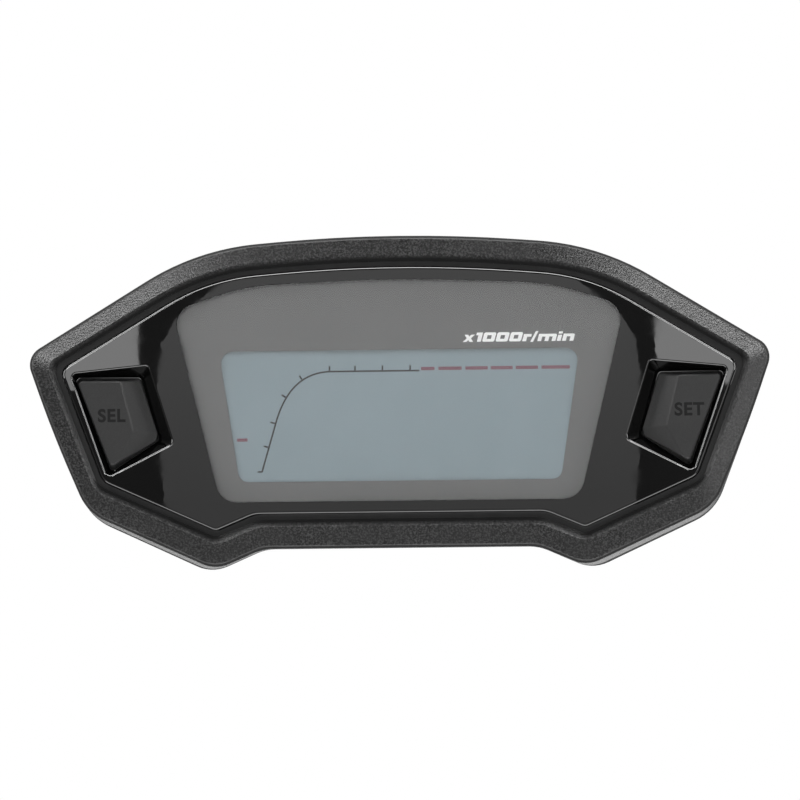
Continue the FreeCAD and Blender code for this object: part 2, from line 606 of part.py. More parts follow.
def make_switch(side, sign):
    """Tact switch: square body with a bore, and the plunger that slides in it."""
    body = keep(new_body(f"switch_body_{side}"))
    case = square(body, f"{side}_switch_case", "board_front", sign, "switch_half")
    pad(body, f"{side}_switch_block", case, "board_front", "switch_front")
    centre = [spot("switch_x", "switch_z", sign)]
    bore = circles(body, f"{side}_bore_circle", "switch_front", "switch_bore_r", centre)
    pocket(body, f"{side}_switch_bore", bore, "switch_front", "switch_bore")
    plunger = keep(new_body(f"switch_plunger_{side}"))
    section = circles(plunger, f"{side}_plunger_circle", "plunger_rear", "plunger_r", centre)
    pad(plunger, f"{side}_plunger_rod", section, "plunger_rear", "plunger_front")


# ---------------------------------------------------------------- display
def make_carrier():
    """Display carrier: a tray on four legs, with a slot for the contact strip."""
    body = keep(new_body("lcd_carrier"))
    pad(body, "CarrierBlock", outline(body, "CarrierOutline", ring("carrier"), "carrier_rear"),
        "carrier_rear", "mask_rear")
    pocket(body, "CarrierTray", outline(body, "CradleOutline", ring("cradle"), "mask_rear"),
           "mask_rear", "carrier_floor")
    pocket(body, "StripSlot", outline(body, "SlotOutline", ring("slot"), "carrier_floor"),
           "carrier_floor", "carrier_rear")
    legs = mirrored_spots("leg_x", "leg_top") + mirrored_spots("leg_x", "leg_foot")
    leg_circles = circles(body, "LegCircles", "carrier_rear", "leg_r", legs)
    pad(body, "Legs", leg_circles, "carrier_rear", "board_front")


def make_layer(name, half_width, foot, top, rear, front):
    """A flat rectangular layer of the display stack."""
    keep(block(name, (f"-Dims.{half_width}", f"Dims.{half_width}"),
               (f"Dims.depth_{rear}", f"Dims.depth_{front}"), (f"Dims.{foot}", f"Dims.{top}")))


def make_mask():
    """Printed mask round the display."""
    body = keep(new_body("dial_mask"))
    window = outline(body, "MaskWindow", ring("window"), "mask_rear")
    edge = offset_copy(body, window, "MaskEdge", "Dims.mask_margin")
    pad(body, "MaskPlate", edge, "mask_rear", "mask_front")
    pocket(body, "MaskOpening", outline(body, "DisplayOutline", ring("display"), "mask_rear"),
           "mask_rear", "mask_front")


def make_backlight():
    """Two edge strips, each with its row of side-firing LEDs."""
    members = []
    for side, sign in SIDES.items():
        near = "Dims.guide_half_width + Dims.led_width"
        far = "Dims.guide_half_width + Dims.led_width + Dims.strip_width"
        span = (near, far) if sign > 0 else (f"-({far})", f"-({near})")
        members.append(block(f"strip_{side}", span, ("Dims.depth_carrier_floor", "Dims.depth_guide_front"),
                             ("Dims.film_foot", "Dims.film_top")))
        span = ("Dims.guide_half_width", near) if sign > 0 else (f"-({near})", "-Dims.guide_half_width")
        for row in range(4):
            foot = f"Dims.film_foot + {row + 0.5} * Dims.led_pitch"
            members.append(block(f"edge_led_{side}_{row + 1}", span,
                                 ("Dims.depth_carrier_floor", "Dims.depth_guide_front"),
                                 (foot, f"{foot} + Dims.led_length")))
    group("backlight_leds", members)


def make_tunnel():
    """Light tunnel: a block with one round channel for each tell-tale."""
    body = keep(new_body("light_tunnel"))
    pad(body, "TunnelBlock", outline(body, "TunnelOutline", ring("tunnel"), "board_front"),
        "board_front", "tunnel_front")
    centres = [(step * sizes["telltale_pitch"], f"{step} * Dims.telltale_pitch",
                sizes["telltale_z"], "Dims.telltale_z") for step in TELLTALES]
    pocket(body, "Channels", circles(body, "ChannelCircles", "board_front", "telltale_r", centres),
           "board_front", "tunnel_front")


def make_telltale_leds():
    """One surface-mounted LED under each channel of the light tunnel."""
    members = []
    for step in TELLTALES:
        middle = f"{step} * Dims.telltale_pitch"
        across = (f"{middle} - Dims.telltale_half", f"{middle} + Dims.telltale_half")
        up = ("Dims.telltale_z - Dims.telltale_half", "Dims.telltale_z + Dims.telltale_half")
        depth = ("Dims.depth_board_front", "Dims.depth_telltale_front")
        members.append(block(f"telltale_led_{step + 3}", across, depth, up))
    group("telltale_leds", members)


# ---------------------------------------------------------------- board and rear parts
def pin_centres():
    """Positions of the connector pins: two rows of eight, as numbers and as expressions."""
    for column in range(8):
        for row in (-1, 1):
            step = column - 3.5
            yield (step * sizes["pin_pitch"], f"{step} * Dims.pin_pitch",
                   sizes["header_z"] + row * sizes["pin_row_z"], f"Dims.header_z + {row} * Dims.pin_row_z")


def make_board():
    body = keep(new_body("main_board"))
    pad(body, "BoardPlate", outline(body, "BoardOutline", ring("board"), "board_rear"),
        "board_rear", "board_front")
    screw_holes = circles(body, "BoardHoleCircles", "board_front", "board_hole_r", board_spots)
    pocket(body, "BoardHoles", screw_holes, "board_front", "board_rear")
    pin_holes = circles(body, "PinHoleCircles", "board_front", "pin_hole_r", list(pin_centres()))
    pocket(body, "PinHoles", pin_holes, "board_front", "board_rear")


def make_chips():
    """Chip packages soldered to the rear of the board."""
    members = []
    for chip in CHIPS:
        across = (f"Dims.{chip}_x - Dims.{chip}_half_width", f"Dims.{chip}_x + Dims.{chip}_half_width")
        up = (f"Dims.{chip}_z - Dims.{chip}_half_height", f"Dims.{chip}_z + Dims.{chip}_half_height")
        depth = (f"Dims.depth_board_rear - Dims.{chip}_thick", "Dims.depth_board_rear")
        members.append(block(f"chip_{chip}", across, depth, up))
    group("chip_packages", members)


def make_capacitors():
    members = [rod(f"can_{can}", f"Dims.{can}_can_r", f"Dims.{can}_x", f"Dims.{can}_z",
                   f"Dims.depth_board_rear - Dims.{can}_tall", "Dims.depth_board_rear")
               for can in CAPACITORS]
    group("capacitors", members)


def make_connector():
    """Header with an open socket towards the rear, its two rows of pins and its seal."""
    body = keep(new_body("connector_header"))
    pad(body, "HeaderBlock", outline(body, "HeaderOutside", ring("header"), "header_rear"),
        "header_rear", "board_rear")
    pocket(body, "HeaderSocket", outline(body, "SocketOutline", ring("socket"), "header_rear"),
           "header_rear", "socket_floor")
    pins = [block(f"pin_{number}", (f"{x} - Dims.pin_half", f"{x} + Dims.pin_half"),
                  ("Dims.depth_pin_tip", "Dims.depth_pin_tail"),
                  (f"{z} - Dims.pin_half", f"{z} + Dims.pin_half"))
            for number, (_, x, _, z) in enumerate(pin_centres(), start=1)]
    group("connector_pins", pins)
    seal = keep(new_body("connector_seal"))
    inner = outline(seal, "SealInner", ring("header"), "header_rear")
    outer = offset_copy(seal, inner, "SealOuter", "Dims.connector_seal")
    pad(seal, "SealRing", outer, "header_rear", "connector_seal_front")
    pocket(seal, "SealHole", inner, "header_rear", "connector_seal_front")


def make_inserts():
    """Brass inserts moulded into the rear wall, bored for M5."""
    members = []
    for number, (x, x_cell, _, z_cell) in enumerate(insert_spots, start=1):
        across = signed(x, x_cell)
        blank = rod(f"insert_blank_{number}", "Dims.insert_r", across, z_cell, "Dims.depth_land",
                    "Dims.depth_insert_front")
        bore = rod(f"insert_bore_{number}", "Dims.insert_bore_r", across, z_cell, "Dims.depth_land",
                   "Dims.depth_insert_front")
        insert = doc.addObject("Part::Cut", f"insert_{number}")
        insert.Base = blank
        insert.Tool = bore
        members.append(insert)
    group("mount_inserts", members)


def make_screw(name, top, seat, end, head_r, shank_r):
    """Pan-head screw on the origin's depth axis, with a cross recess in its top."""
    body = new_body(name)
    head_circle = circles(body, f"{name}_head_circle", seat, head_r, [ON_ORIGIN])
    head = pad(body, f"{name}_head", head_circle, seat, top)
    doc.recompute()
    dress(body, "Fillet", f"{name}_head_round", head, edges_at(head, top), "head_round")
    shank_circle = circles(body, f"{name}_shank_circle", seat, shank_r, [ON_ORIGIN])
    pad(body, f"{name}_shank", shank_circle, seat, end)
    recess = pocket(body, f"{name}_recess", outline(body, f"{name}_cross", ring("cross"), top), top, seat)
    recess.setExpression("Length", "Dims.recess_depth")
    return body


def make_screw_set(name, screw, spots):
    """Copies of one screw at each spot, as separate solids of one piece."""
    members = []
    for number, (x, x_cell, _, z_cell) in enumerate(spots, start=1):
        link = doc.addObject("App::Link", f"{name}_{number}")
        link.LinkedObject = screw
        link.setExpression("Placement.Base.x", signed(x, x_cell))
        link.setExpression("Placement.Base.z", z_cell)
        members.append(link)
    group(name, members)


def make_vent():
    """Breather vent: a round cap on a stem that plugs the rear wall."""
    cap = rod("vent_cap", "Dims.vent_cap_r", "Dims.vent_x", "Dims.vent_z", "Dims.depth_vent_cap",
              "Dims.depth_wall_rear")
    stem = rod("vent_stem", "Dims.vent_r", "Dims.vent_x", "Dims.vent_z", "Dims.depth_vent_cap",
               "Dims.depth_vent_front")
    vent = keep(doc.addObject("Part::MultiFuse", "breather_vent"))
    vent.Shapes = [cap, stem]


make_bezel()
make_rear_housing()
make_fascia()
make_lens()
make_seal("window_gasket", "window", "lens_flange", "fascia_back",
          "Dims.lens_lip", "Dims.lens_gasket_inset")
make_seal("fascia_seal", "fascia", "fascia_flange", "bezel_back",
          "Dims.fascia_lip", "Dims.fascia_seal_inset")
make_seal("housing_seal", "skirt", "groove", "parting", "-Dims.seal_outer", "-Dims.seal_inner")
for side, sign in SIDES.items():
    make_button(side, sign)
    make_boot(side, sign)
    make_switch(side, sign)
make_mask()
make_carrier()
make_layer("front_polariser", "film_half_width", "film_foot", "film_top",
           "front_glass_front", "front_film_front")
make_layer("front_glass", "glass_half_width", "front_glass_foot", "glass_top",
           "rear_glass_front", "front_glass_front")
make_layer("rear_glass", "glass_half_width", "rear_glass_foot", "glass_top",
           "rear_film_front", "rear_glass_front")
make_layer("rear_polariser", "film_half_width", "film_foot", "film_top",
           "diffuser_front", "rear_film_front")
make_layer("diffuser", "film_half_width", "film_foot", "film_top",
           "guide_front", "diffuser_front")
make_layer("light_guide", "guide_half_width", "film_foot", "film_top",
           "carrier_floor", "guide_front")
make_backlight()
make_layer("contact_strip", "zebra_half_width", "zebra_foot", "zebra_top",
           "board_front", "rear_glass_front")
make_tunnel()
make_telltale_leds()
make_board()
make_chips()
make_capacitors()
make_connector()
make_inserts()
housing_screw = make_screw("housing_screw", "screw_head", "screw_seat", "screw_end", "head_r", "pilot_r")
make_screw_set("housing_screws", housing_screw, screw_spots)
board_screw = make_screw("board_screw", "board_screw_head", "board_front", "board_screw_end",
                         "board_head_r", "board_pilot_r")
make_screw_set("board_screws", board_screw, board_spots)
make_vent()
doc.recompute()

# ---------------------------------------------------------------- checks and export
for obj in doc.Objects:
    if "Invalid" in obj.State or "Error" in obj.State:
        raise RuntimeError(f"{obj.Label} failed: {obj.State}")
    if obj.TypeId in ("PartDesign::Pocket", "PartDesign::SubtractiveLoft"):
        if obj.Shape.Volume > obj.BaseFeature.Shape.Volume - NEAR:
            raise RuntimeError(f"{obj.Label} removes nothing")
for node in nodes:
    if node.Shape.isNull() or not node.Shape.isValid():
        raise RuntimeError(f"{node.Label} has no valid shape")
    if node.TypeId == "PartDesign::Body" and len(node.Shape.Solids) != 1:
        raise RuntimeError(f"{node.Label} is not one solid")
os.makedirs("parts", exist_ok=True)
for node in nodes:
    node.Shape.exportStep(f"parts/{node.Label}.step")
print(len(nodes), "pieces:", ", ".join(sorted(node.Label for node in nodes)))
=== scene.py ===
"""Looks of the motorcycle instrument cluster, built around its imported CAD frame.

Metres throughout. +X is the rider's right, +Z is up and the display faces -Y.
"""

import math

import bpy
from mathutils import Euler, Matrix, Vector
from mathutils.geometry import interpolate_bezier


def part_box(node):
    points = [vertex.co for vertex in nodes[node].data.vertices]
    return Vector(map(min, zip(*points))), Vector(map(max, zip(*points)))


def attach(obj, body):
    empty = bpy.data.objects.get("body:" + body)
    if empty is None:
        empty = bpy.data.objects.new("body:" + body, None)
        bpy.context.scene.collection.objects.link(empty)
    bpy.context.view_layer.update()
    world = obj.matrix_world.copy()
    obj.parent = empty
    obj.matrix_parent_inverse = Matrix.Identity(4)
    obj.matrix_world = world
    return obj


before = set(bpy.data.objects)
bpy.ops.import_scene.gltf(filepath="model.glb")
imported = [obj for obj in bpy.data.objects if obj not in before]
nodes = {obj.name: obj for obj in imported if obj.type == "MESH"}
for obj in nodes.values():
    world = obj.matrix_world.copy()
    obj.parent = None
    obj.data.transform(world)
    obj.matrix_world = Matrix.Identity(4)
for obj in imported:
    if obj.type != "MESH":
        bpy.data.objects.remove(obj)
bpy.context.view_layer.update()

MM = 0.001

# Where the printed and etched detail lies, read from the frame.
DISPLAY_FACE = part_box("front_polariser")[0].y
MASK_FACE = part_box("dial_mask")[0].y
FASCIA_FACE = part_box("gloss_fascia")[0].y
BUTTON_FACE = {side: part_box(f"button_{side}")[0].y for side in ("left", "right")}
PRINT_THICKNESS = 0.03 * MM
# The bezel's inner bevel meets its sloped face level with the fascia. The housing starts at the parting.
BEVEL_FRONT = FASCIA_FACE
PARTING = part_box("front_bezel")[1].y


# ---------------------------------------------------------------- shader helpers
class Finish:
    """One material's node tree, with the few steps that every finish here is made of."""

    def __init__(self, name):
        self.material = bpy.data.materials.new(name)
        self.material.use_nodes = True
        self.tree = self.material.node_tree
        self.shader = self.tree.nodes["Principled BSDF"]
        coordinates = self.tree.nodes.new("ShaderNodeTexCoord")
        self.place = coordinates.outputs["Object"]
        self.facing = coordinates.outputs["Normal"]

    def node(self, kind, **values):
        made = self.tree.nodes.new(kind)
        for name, value in values.items():
            setattr(made, name, value)
        return made

    def link(self, source, target):
        self.tree.links.new(source, target)

    def set(self, **values):
        """Sets the shader's own sockets, such as metallic=1 or coat_weight=0.3."""
        for name, value in values.items():
            socket = self.shader.inputs[name.replace("_", " ").title().replace("Ior", "IOR")]
            if socket.type == "RGBA":
                value = (*value, 1.0)
            socket.default_value = value

    def noise(self, size, detail=2.0, rough=0.5, stretch=(1, 1, 1)):
        """Soft cloudy pattern with features of that size in metres; stretch lengthens it along an axis."""
        mapping = self.node("ShaderNodeMapping")
        mapping.inputs["Scale"].default_value = [1 / (size * s) for s in stretch]
        self.link(self.place, mapping.inputs["Vector"])
        texture = self.node("ShaderNodeTexNoise")
        texture.inputs["Scale"].default_value = 1.0
        texture.inputs["Detail"].default_value = detail
        texture.inputs["Roughness"].default_value = rough
        self.link(mapping.outputs[0], texture.inputs["Vector"])
        return texture.outputs["Fac"]

    def cells(self, size, feature="F1"):
        """Pebble-like cells of that size in metres."""
        texture = self.node("ShaderNodeTexVoronoi", feature=feature)
        texture.inputs["Scale"].default_value = 1 / size
        self.link(self.place, texture.inputs["Vector"])
        return texture.outputs["Distance"]

    def along(self, axis, start, end):
        """A ramp from 0 at start to 1 at end along an axis of the object, in metres."""
        split = self.node("ShaderNodeSeparateXYZ")
        self.link(self.place, split.inputs[0])
        return self.between(split.outputs[axis], start, end, 0.0, 1.0)

    def between(self, value, low, high, out_low, out_high):
        """Maps low..high of a value to out_low..out_high, and clamps it there."""
        ramp = self.node("ShaderNodeMapRange")
        for socket, number in zip(ramp.inputs[1:5], (low, high, out_low, out_high)):
            socket.default_value = number
        self.link(value, ramp.inputs["Value"])
        return ramp.outputs["Result"]

    def shades(self, value, dark, light, low=0.35, high=0.65):
        """Colour that runs from dark to light as the value goes from low to high."""
        mix = self.node("ShaderNodeMix", data_type="RGBA")
        mix.inputs["A"].default_value = (*dark, 1.0)
        mix.inputs["B"].default_value = (*light, 1.0)
        self.link(self.between(value, low, high, 0.0, 1.0), mix.inputs["Factor"])
        return mix.outputs["Result"]

    def blend(self, share, first, second):
        """Mixes two colour sockets by a share from 0 to 1."""
        mix = self.node("ShaderNodeMix", data_type="RGBA")
        self.link(share, mix.inputs["Factor"])
        self.link(first, mix.inputs["A"])
        self.link(second, mix.inputs["B"])
        return mix.outputs["Result"]

    def lerp(self, share, value, end):
        """Moves a value towards a number by a share from 0 to 1."""
        mix = self.node("ShaderNodeMix", data_type="FLOAT")
        mix.inputs["B"].default_value = end
        self.link(share, mix.inputs["Factor"])
        self.link(value, mix.inputs["A"])
        return mix.outputs["Result"]

    def colour(self, socket):
        self.link(socket, self.shader.inputs["Base Color"])

    def roughness(self, value, smooth, rough, low=0.3, high=0.7):
        self.link(self.between(value, low, high, smooth, rough), self.shader.inputs["Roughness"])

    def inward(self, low, high):
        """0 to 1 as the surface turns towards the part's middle, seen from the front."""
        flat = self.node("ShaderNodeVectorMath", operation="MULTIPLY")
        flat.inputs[1].default_value = (-1.0, 0.0, -1.0)
        self.link(self.place, flat.inputs[0])
        unit = self.node("ShaderNodeVectorMath", operation="NORMALIZE")
        self.link(flat.outputs[0], unit.inputs[0])
        share = self.node("ShaderNodeVectorMath", operation="DOT_PRODUCT")
        self.link(unit.outputs[0], share.inputs[0])
        self.link(self.facing, share.inputs[1])
        return self.between(share.outputs["Value"], low, high, 0.0, 1.0)

    def rounded(self):
        """1 on edges that roll over from the front or rear to the sides, 0 on faces and side walls.

        It goes by the surface's share of forward or backward direction: 1 on a face, 0 on a side wall.
        """
        split = self.node("ShaderNodeSeparateXYZ")
        self.link(self.facing, split.inputs[0])
        level = self.node("ShaderNodeMath", operation="ABSOLUTE")
        self.link(split.outputs["Y"], level.inputs[0])
        past_face = self.between(level.outputs[0], 0.82, 0.95, 1.0, 0.0)
        before_wall = self.between(level.outputs[0], 0.15, 0.35, 0.0, 1.0)
        return self.maths("MULTIPLY", past_face, before_wall)

    def square_on(self):
        """1 on flats that face exactly forward, such as the floor of a step."""
        split = self.node("ShaderNodeSeparateXYZ")
        self.link(self.facing, split.inputs[0])
        return self.between(split.outputs["Y"], -0.998, -0.994, 1.0, 0.0)

    def maths(self, operation, first, second):
        """Joins two values by one operation, such as MULTIPLY or MAXIMUM."""
        made = self.node("ShaderNodeMath", operation=operation)
        self.link(first, made.inputs[0])
        self.link(second, made.inputs[1])
        return made.outputs[0]

    def relief(self, value, depth, strength=None):
        """Raises the surface by the value, as a bump of that depth in metres."""
        bump = self.node("ShaderNodeBump")
        bump.inputs["Strength"].default_value = 1.0
        bump.inputs["Distance"].default_value = depth
        if strength:
            self.link(strength, bump.inputs["Strength"])
        self.link(value, bump.inputs["Height"])
        self.link(bump.outputs["Normal"], self.shader.inputs["Normal"])


def grey(level):
    return (level, level, level)


def moulded(name, dark, light, grain, depth, smooth, rough):
    """Injection-moulded plastic or rubber: grain of that size, and slow changes in its sheen."""
    finish = Finish(name)
    fine = finish.noise(grain, detail=3.0)
    finish.colour(finish.shades(fine, dark, light))
    finish.roughness(finish.noise(14 * MM), smooth, rough)
    finish.relief(fine, depth)
    return finish


# ---------------------------------------------------------------- finishes
def parting_shade_band(finish):
    """1 on the band along the parting line of the bezel and the housing, which gets painted shade and a dull
    finish.
    """
    behind_start = finish.along("Y", PARTING - 4.2 * MM, PARTING - 3.0 * MM)
    before_end = finish.along("Y", PARTING + 0.9 * MM, PARTING + 0.3 * MM)
    return finish.maths("MULTIPLY", behind_start, before_end)


def textured_black():
    """Spark-eroded texture of the bezel and housing, smooth or dull on some parts, where shade is painted.

    The bevel round the fascia is smooth, with painted shade in its darker colour. Rounded edges, the step's
    floor and the band along the parting line are dull, and painted dark as shade.
    """
    finish = Finish("textured_black")
    grain = finish.noise(0.42 * MM, detail=2.0, rough=0.6)
    peaks = finish.shades(grain, grey(0.012), grey(0.058), low=0.4, high=0.64)
    worn = finish.shades(grain, grey(0.016), grey(0.044), low=0.35, high=0.65)
    textured = finish.blend(finish.between(finish.noise(9 * MM), 0.4, 0.6, 0.0, 1.0), peaks, worn)
    # The bevel round the fascia is really smooth; its darker colour is painted shade.
    bevel = finish.along("Y", BEVEL_FRONT, BEVEL_FRONT + 0.13 * MM)
    smooth = finish.maths("MULTIPLY", finish.inward(0.01, 0.03), bevel)
    # Painted shade: rounded edges, the step's floor and the parting band turn near-black, and dull.
    painted_shade = finish.maths("MAXIMUM", finish.rounded(), finish.square_on())
    painted_shade = finish.maths("MAXIMUM", painted_shade, parting_shade_band(finish))
    # The near-black colour of the painted shade on the bevel, rounded edges, step's floor and parting band.
    painted_shade_colour = finish.shades(finish.noise(5 * MM), grey(0.004), grey(0.007))
    finish.colour(finish.blend(painted_shade, finish.blend(smooth, textured, painted_shade_colour), painted_shade_colour))
    rough = finish.lerp(smooth, finish.between(grain, 0.3, 0.7, 0.2, 0.32), 0.16)
    finish.link(finish.lerp(painted_shade, rough, 1.0), finish.shader.inputs["Roughness"])
    finish.relief(grain, 0.055 * MM, strength=finish.between(smooth, 0.0, 1.0, 1.0, 0.05))
    finish.set(specular_ior_level=0.3)
    return finish.material


def gloss_black():
    """Piano-black fascia with the slight orange peel of a polished moulding."""
    finish = Finish("gloss_black")
    finish.colour(finish.shades(finish.noise(30 * MM), grey(0.0015), grey(0.003)))
    finish.roughness(finish.noise(6 * MM, detail=4.0), 0.0, 0.03)
    finish.relief(finish.noise(2.5 * MM, detail=1.0), 0.001 * MM)
    return finish.material


def clear_window():
    """Clear acrylic lens."""
    finish = Finish("clear_window")
    finish.set(base_color=(0.97, 0.975, 0.97), transmission_weight=1.0, ior=1.49)
    finish.roughness(finish.noise(12 * MM, detail=5.0), 0.0, 0.02)
    return finish.material


def satin_black():
    """Fine satin moulding of the button caps."""
    finish = moulded("satin_black", grey(0.05), grey(0.058), 0.25 * MM, 0.004 * MM, 0.3, 0.4)
    finish.set(specular_ior_level=0.08)
    return finish.material


def mask_print():
    """Dark smoked print round the display."""
    finish = moulded("mask_print", grey(0.104), grey(0.11), 0.6 * MM, 0.0001 * MM, 0.7, 0.8)
    finish.set(specular_ior_level=0.2)
    return finish.material


def polariser_film():
    """Grey-blue reflective display film, with a painted shadow darkening it along its top."""
    finish = Finish("polariser_film")
    cloud = finish.noise(8 * MM, detail=3.0)
    body = finish.shades(cloud, (0.2, 0.258, 0.284), (0.214, 0.272, 0.3))
    # Painted shadow: this darker copy of the film's colour fills a 1.6 mm band below the display's top.
    painted_shade = finish.shades(cloud, (0.15, 0.19, 0.21), (0.17, 0.21, 0.23))
    display_top = 10.0 * MM
    finish.colour(finish.blend(finish.along("Z", display_top - 1.6 * MM, display_top), body, painted_shade))
    finish.roughness(cloud, 0.5, 0.6)
    finish.set(specular_ior_level=0.2)
    return finish.material


def display_glass():
    finish = Finish("display_glass")
    finish.set(transmission_weight=1.0, ior=1.52)
    finish.colour(finish.shades(finish.noise(20 * MM), (0.8, 0.88, 0.84), (0.86, 0.92, 0.89)))
    finish.roughness(finish.noise(5 * MM), 0.0, 0.03)
    return finish.material


def clear_guide():
    """Acrylic light guide with its printed extraction dots."""
    finish = Finish("clear_guide")
    dots = finish.cells(1.2 * MM)
    finish.set(transmission_weight=0.6, ior=1.49)
    finish.colour(finish.shades(dots, grey(0.9), (0.72, 0.76, 0.78), low=0.25, high=0.35))
    finish.roughness(dots, 0.5, 0.05, low=0.25, high=0.35)
    return finish.material


def white_plastic():
    return moulded("white_plastic", grey(0.62), grey(0.7), 0.4 * MM, 0.006 * MM, 0.4, 0.55).material


def black_rubber():
    return moulded("black_rubber", grey(0.012), grey(0.03), 0.3 * MM, 0.015 * MM, 0.7, 0.85).material


def silicone():
    """Milky grey silicone of the button boots."""
    finish = moulded("silicone", grey(0.1), grey(0.14), 0.5 * MM, 0.008 * MM, 0.5, 0.62)
    finish.set(subsurface_weight=0.2, subsurface_scale=1 * MM)
    return finish.material


def circuit_board():
    """Green solder mask over copper tracks, with the cells' edges as the gaps between copper areas."""
    finish = Finish("circuit_board")
    tracks = finish.cells(4 * MM, feature="DISTANCE_TO_EDGE")
    mask = finish.shades(finish.noise(3 * MM), (0.012, 0.075, 0.03), (0.02, 0.11, 0.045))
    laminate = finish.shades(finish.noise(3 * MM), (0.006, 0.035, 0.015), (0.01, 0.05, 0.022))
    finish.colour(finish.blend(finish.between(tracks, 0.05, 0.09, 0.0, 1.0), laminate, mask))
    finish.roughness(finish.noise(2 * MM), 0.25, 0.4)
    finish.relief(finish.between(tracks, 0.04, 0.1, 0.0, 1.0), 0.035 * MM)
    return finish.material


def chip_plastic():
    return moulded("chip_plastic", grey(0.014), grey(0.028), 0.15 * MM, 0.01 * MM, 0.5, 0.65).material


def can_aluminium():
    """Drawn aluminium can, streaked round its side."""
    finish = Finish("can_aluminium")
    streaks = finish.noise(0.4 * MM, stretch=(1, 8, 1))
    finish.set(metallic=1.0)
    finish.colour(finish.shades(streaks, grey(0.5), grey(0.66)))
    finish.roughness(streaks, 0.22, 0.38)
    finish.relief(streaks, 0.004 * MM)
    return finish.material


def led_emitter():
    """Yellow phosphor in a white package."""
    finish = moulded("led_emitter", (0.62, 0.5, 0.1), (0.8, 0.7, 0.3), 0.5 * MM, 0.006 * MM, 0.3, 0.45)
    return finish.material


def switch_plastic():
    return moulded("switch_plastic", grey(0.018), grey(0.032), 0.3 * MM, 0.01 * MM, 0.4, 0.55).material


def connector_plastic():
    """Glass-filled nylon, with its fibres just showing along the mould's flow."""
    finish = Finish("connector_plastic")
    fibres = finish.noise(0.25 * MM, detail=3.0, stretch=(5, 1, 1))
    finish.colour(finish.shades(fibres, grey(0.012), grey(0.034)))
    finish.roughness(finish.noise(4 * MM), 0.38, 0.55)
    finish.relief(fibres, 0.012 * MM)
    return finish.material


def plated(name, dark, light, size, depth, smooth, rough, stretch=(1, 1, 1)):
    """Plated or turned metal with tool marks of that size."""
    finish = Finish(name)
    marks = finish.noise(size, detail=4.0, stretch=stretch)
    finish.set(metallic=1.0)
    finish.colour(finish.shades(marks, dark, light))
    finish.roughness(marks, smooth, rough)
    finish.relief(marks, depth)
    return finish.material


def pin_metal():
    return plated("pin_metal", (0.6, 0.58, 0.54), (0.78, 0.76, 0.72), 0.3 * MM, 0.004 * MM, 0.2, 0.35)


def brass():
    return plated("brass", (0.58, 0.4, 0.16), (0.74, 0.55, 0.26), 0.2 * MM, 0.02 * MM, 0.22, 0.4, (1, 3, 1))


def screw_steel():
    """Black zinc-plated screw heads, mottled lighter and darker by their tool marks."""
    return plated("screw_steel", grey(0.16), grey(0.42), 0.35 * MM, 0.006 * MM, 0.28, 0.45)


def vent_membrane():
    """Woven breather membrane."""
    finish = Finish("vent_membrane")
    weave = finish.cells(0.35 * MM, feature="SMOOTH_F1")
    finish.colour(finish.shades(weave, grey(0.52), grey(0.68), low=0.1, high=0.6))
    finish.roughness(weave, 0.6, 0.8)
    finish.relief(weave, 0.03 * MM)
    return finish.material


FINISHES = (textured_black, gloss_black, clear_window, satin_black, mask_print, polariser_film, display_glass,
            clear_guide, white_plastic, black_rubber, silicone, circuit_board, chip_plastic, can_aluminium,
            led_emitter, switch_plastic, connector_plastic, pin_metal, brass, screw_steel, vent_membrane)


def dress_cad_nodes():
    """Gives every CAD node the finish that its slot in the record names."""
    made = {finish.__name__: finish() for finish in FINISHES}
    for piece in nodes.values():
        for slot in piece.material_slots:
            slot.material = made[slot.material.name.split(".")[0]]


# ---------------------------------------------------------------- printed detail
def ink(name, dark, light, rough):
    """Matt printed ink: even colour with a fine mottle."""
    finish = moulded(name, dark, light, 0.12 * MM, 0.001 * MM, rough, rough + 0.12)
    finish.set(specular_ior_level=0.1)
    return finish.material


def prism(name, loops, back, finish, body):
    """A thin flat solid, outlined by closed loops of (x, z) points; its back lies at that y."""
    curve = bpy.data.curves.new(name, "CURVE")
    curve.dimensions = "2D"
    curve.fill_mode = "BOTH"
    curve.extrude = PRINT_THICKNESS / 2
    for loop in loops:
        spline = curve.splines.new("POLY")
        spline.points.add(len(loop) - 1)
        for point, (x, z) in zip(spline.points, loop):
            point.co = (x, z, 0, 1)
        spline.use_cyclic_u = True
    curve.materials.append(finish)
    piece = bpy.data.objects.new(name, curve)
    bpy.context.scene.collection.objects.link(piece)
    piece.rotation_euler = Euler((math.pi / 2, 0, 0))
    piece.location.y = back - PRINT_THICKNESS / 2
    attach(piece, body)
    return piece


def bar(left, right, middle, height):
    """Loop of an upright rectangle."""
    low, high = middle - height / 2, middle + height / 2
    return [(left, low), (right, low), (right, high), (left, high)]


def ribbon(points, width):
    """Loop round a line of points, half the width to each side."""
    left, right = [], []
    for i, point in enumerate(points):
        ahead = points[min(i + 1, len(points) - 1)]
        behind = points[max(i - 1, 0)]
        step = (Vector(ahead) - Vector(behind)).normalized()
        side = Vector((-step.y, step.x)) * width / 2
        left.append(tuple(Vector(point) + side))
        right.append(tuple(Vector(point) - side))
    return left + right[::-1]


